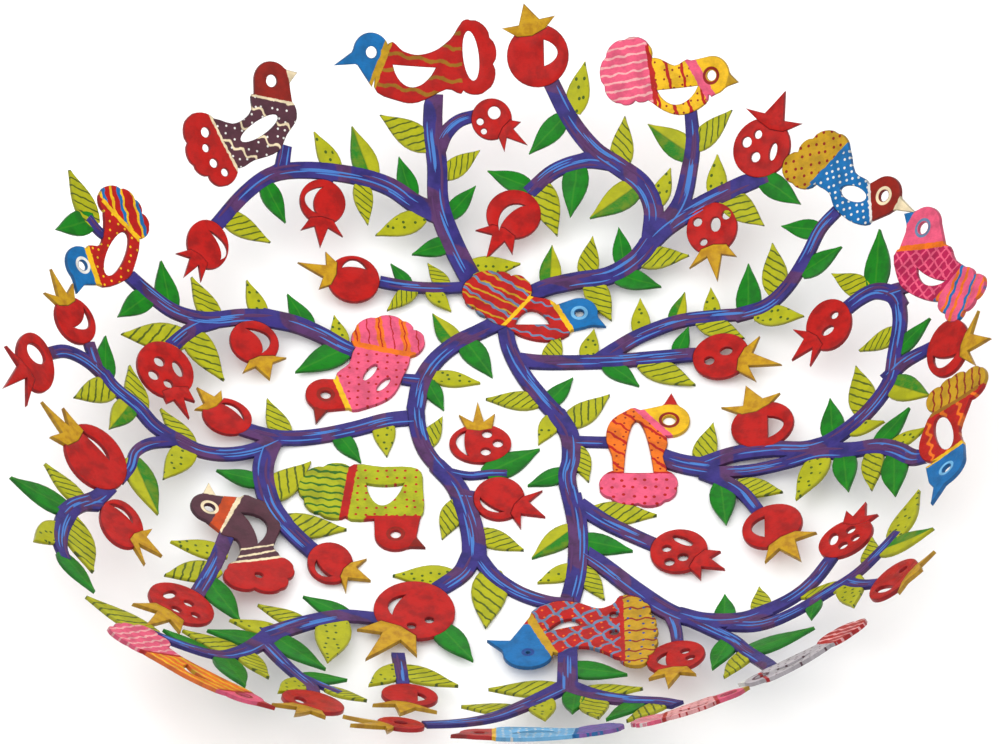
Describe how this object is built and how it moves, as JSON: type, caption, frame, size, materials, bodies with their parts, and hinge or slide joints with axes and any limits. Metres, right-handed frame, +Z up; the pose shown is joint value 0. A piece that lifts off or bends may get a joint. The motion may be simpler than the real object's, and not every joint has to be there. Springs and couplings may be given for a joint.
{
  "type": "openwork bowl",
  "caption": "Shallow round openwork bowl of thin painted sheet, with branches, leaves, pomegranates and birds around open gaps.",
  "frame": {"origin": "centre of the underside of the flat base, on the surface that the bowl stands on", "axes": "+Z up out of the bowl's mouth, +Y towards the far rim as the bowl is usually seen, +X to the right"},
  "size_m": [0.3619, 0.3536, 0.0628],
  "materials": {
    "branch_paint": "hand-brushed indigo and violet enamel with light blue strokes",
    "fruit_paint": "glossy red enamel with darker brush marks",
    "crown_paint": "ochre gold enamel, brushed",
    "leaf_striped_paint": "yellow-green enamel with dark diagonal strokes",
    "leaf_dotted_paint": "yellow-green enamel with dark dots",
    "leaf_green_paint": "deep green enamel",
    "leaf_two_tone_paint": "deep green and yellow-green enamel in two halves",
    "underside_paint": "plain dark enamel",
    "bird_far_left_paint": "hand-painted enamel",
    "bird_far_paint": "hand-painted enamel",
    "bird_far_right_paint": "hand-painted enamel",
    "bird_right_upper_paint": "hand-painted enamel",
    "bird_right_rim_paint": "hand-painted enamel",
    "bird_right_lower_paint": "hand-painted enamel",
    "bird_left_rim_paint": "hand-painted enamel",
    "bird_upper_left_paint": "hand-painted enamel",
    "bird_hub_paint": "hand-painted enamel",
    "bird_middle_paint": "hand-painted enamel",
    "bird_left_lower_paint": "hand-painted enamel",
    "bird_lower_left_paint": "hand-painted enamel",
    "bird_bottom_paint": "hand-painted enamel",
    "bird_near_left_paint": "hand-painted enamel",
    "bird_near_middle_paint": "hand-painted enamel",
    "bird_near_right_paint": "hand-painted enamel",
    "bird_near_paint": "hand-painted enamel"
  },
  "bodies": {
    "root": {"bird_far_left": "bird_far_left_paint", "bird_far": "bird_far_paint", "bird_far_right": "bird_far_right_paint", "bird_right_upper": "bird_right_upper_paint", "bird_right_rim": "bird_right_rim_paint", "bird_right_lower": "bird_right_lower_paint", "bird_left_rim": "bird_left_rim_paint", "bird_upper_left": "bird_upper_left_paint", "bird_hub": "bird_hub_paint", "bird_middle": "bird_middle_paint", "bird_left_lower": "bird_left_lower_paint", "bird_lower_left": "bird_lower_left_paint", "bird_bottom": "bird_bottom_paint", "bird_near_left": "bird_near_left_paint", "bird_near_middle": "bird_near_middle_paint", "bird_near_right": "bird_near_right_paint", "bird_near": "bird_near_paint", "pomegranate_01": "fruit_paint", "pomegranate_02": "fruit_paint", "pomegranate_03": "fruit_paint", "pomegranate_04": "fruit_paint", "pomegranate_05": "fruit_paint", "pomegranate_06": "fruit_paint", "pomegranate_07": "fruit_paint", "pomegranate_08": "fruit_paint", "pomegranate_09": "fruit_paint", "pomegranate_10": "fruit_paint", "pomegranate_11": "fruit_paint", "pomegranate_12": "fruit_paint", "pomegranate_13": "fruit_paint", "pomegranate_14": "fruit_paint", "pomegranate_15": "fruit_paint", "pomegranate_16": "fruit_paint", "pomegranate_17": "fruit_paint", "pomegranate_18": "fruit_paint", "pomegranate_19": "fruit_paint", "pomegranate_20": "fruit_paint", "pomegranate_21": "fruit_paint", "pomegranate_22": "fruit_paint", "pomegranate_23": "fruit_paint", "pomegranate_24": "fruit_paint", "pomegranate_25": "fruit_paint", "pomegranate_26": "fruit_paint", "pomegranate_27": "fruit_paint", "pomegranate_28": "fruit_paint", "pomegranate_29": "fruit_paint", "pomegranate_30": "fruit_paint", "pomegranate_31": "fruit_paint", "pomegranate_32": "fruit_paint", "limb_top": "branch_paint", "limb_upper_right": "branch_paint", "limb_left_trunk": "branch_paint", "limb_right_trunk": "branch_paint", "limb_far_right": "branch_paint", "limb_lower_right": "branch_paint", "limb_left_middle": "branch_paint", "limb_upper_left": "branch_paint", "limb_rim_left": "branch_paint", "limb_lower_left": "branch_paint", "limb_bottom": "branch_paint"}
  },
  "joints": []
}
